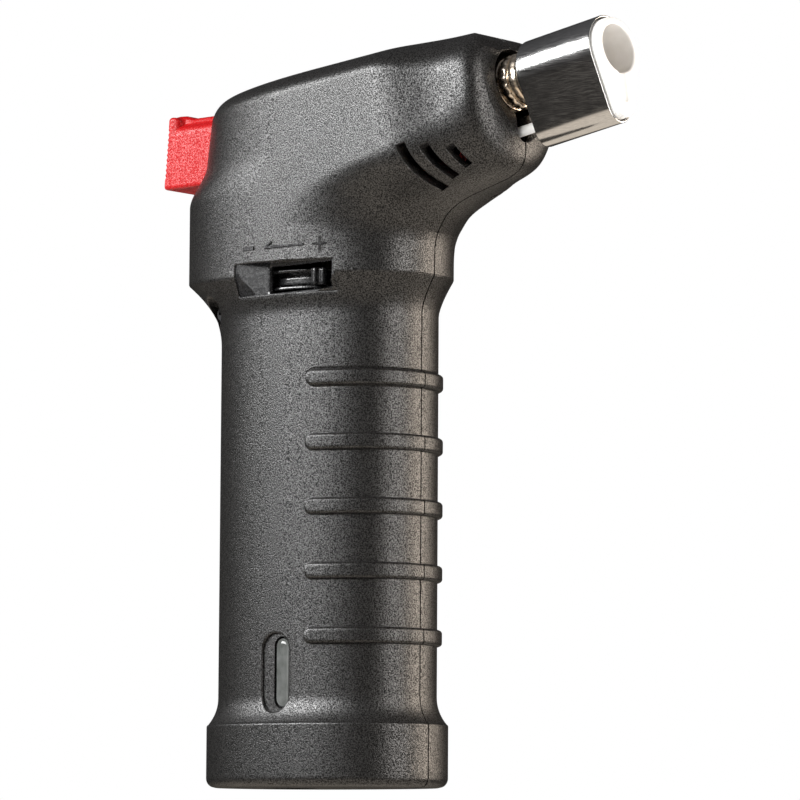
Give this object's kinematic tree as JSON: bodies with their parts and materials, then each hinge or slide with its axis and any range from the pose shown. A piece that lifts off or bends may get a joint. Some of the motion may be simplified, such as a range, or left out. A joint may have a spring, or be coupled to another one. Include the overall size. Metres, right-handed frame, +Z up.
{
  "type": "butane torch",
  "caption": "Hand-held butane torch with an upright ribbed handle, fuel window, flame lever, thumb trigger and tilted steel and ceramic burner nozzle",
  "frame": {"origin": "middle of the flat underside of the tank lid, on the handle's axis, level with the foot", "axes": "+Z up along the handle, +X forward over the nozzle, +Y to the torch's left"},
  "size_m": [0.108, 0.0352, 0.1386],
  "materials": {
    "black_plastic": "fine spark-textured black moulding",
    "red_plastic": "bright red moulding, finely textured sides and smooth top",
    "lever_plastic": "smooth dark grey moulding",
    "cream_plastic": "smooth cream moulding",
    "tank_plastic": "translucent smoke-white moulding",
    "brass": "bright turned brass",
    "stainless": "stainless steel, brushed along its length",
    "ceramic": "unglazed white ceramic",
    "rubber": "black rubber",
    "lead_red": "red silicone insulation",
    "wick": "pale fibre"
  },
  "bodies": {
    "torch": {"right_housing": "black_plastic", "left_housing": "black_plastic", "screw_rear_neck": "stainless", "screw_front_neck": "stainless", "screw_head_top": "stainless", "screw_handle": "stainless", "fuel_tank": "tank_plastic", "tank_lid": "black_plastic", "fuel_wick": "wick", "refill_valve_body": "brass", "refill_valve_seal": "rubber", "refill_valve_retainer": "stainless", "refill_valve_spring": "stainless", "outlet_valve_body": "brass", "outlet_valve_seal": "rubber", "outlet_valve_filter": "stainless", "outlet_valve_spring": "stainless", "piezo_case": "lever_plastic", "piezo_spring": "stainless", "gas_lever_pin": "stainless", "jet_holder": "brass", "mixing_tube": "stainless", "burner_nut": "brass", "flame_gauze": "stainless", "electrode_insulator": "ceramic", "electrode_rod": "stainless", "nozzle_sleeve": "stainless", "sleeve_bracket": "stainless", "ceramic_mouth": "ceramic", "gas_hose": "rubber", "ignition_lead": "lead_red", "ground_lead": "rubber"},
    "trigger": {"trigger": "red_plastic", "piezo_plunger": "cream_plastic"},
    "gas_lever": {"gas_lever": "cream_plastic"},
    "outlet_stem": {"outlet_valve_stem": "brass"},
    "flame_lever": {"flame_adjust_lever": "lever_plastic"},
    "refill_stem": {"refill_valve_stem": "brass"}
  },
  "joints": [
    {"name": "trigger_slide", "type": "slide", "parent": "torch", "child": "trigger", "axis": [1, 0, 0], "range_m": [0, 0.006], "stiffness_N_per_m": 1500, "springref_m": -0.004, "deforming": ["piezo_spring"]},
    {"name": "gas_lever_hinge", "type": "hinge", "parent": "torch", "child": "gas_lever", "pos_m": [-0.007, 0, 0.1045], "axis": [0, -1, 0], "range_deg": [0, 10.4]},
    {"name": "outlet_stem_lift", "type": "slide", "parent": "torch", "child": "outlet_stem", "axis": [0, 0, 1], "range_m": [0, 0.00125], "deforming": ["outlet_valve_spring"]},
    {"name": "flame_adjust", "type": "hinge", "parent": "torch", "child": "flame_lever", "pos_m": [0, 0, 0.0931], "axis": [0, 0, 1], "range_deg": [-26, 5]},
    {"name": "refill_stem_slide", "type": "slide", "parent": "torch", "child": "refill_stem", "axis": [0, 0, 1], "range_m": [0, 0.0015], "stiffness_N_per_m": 1200, "springref_m": -0.0008, "deforming": ["refill_valve_spring"]}
  ],
  "couplings": [
    {"joint": "gas_lever_hinge", "follows": "trigger_slide", "rad_per_m": 29.67},
    {"joint": "outlet_stem_lift", "follows": "trigger_slide", "ratio": 0.2}
  ]
}
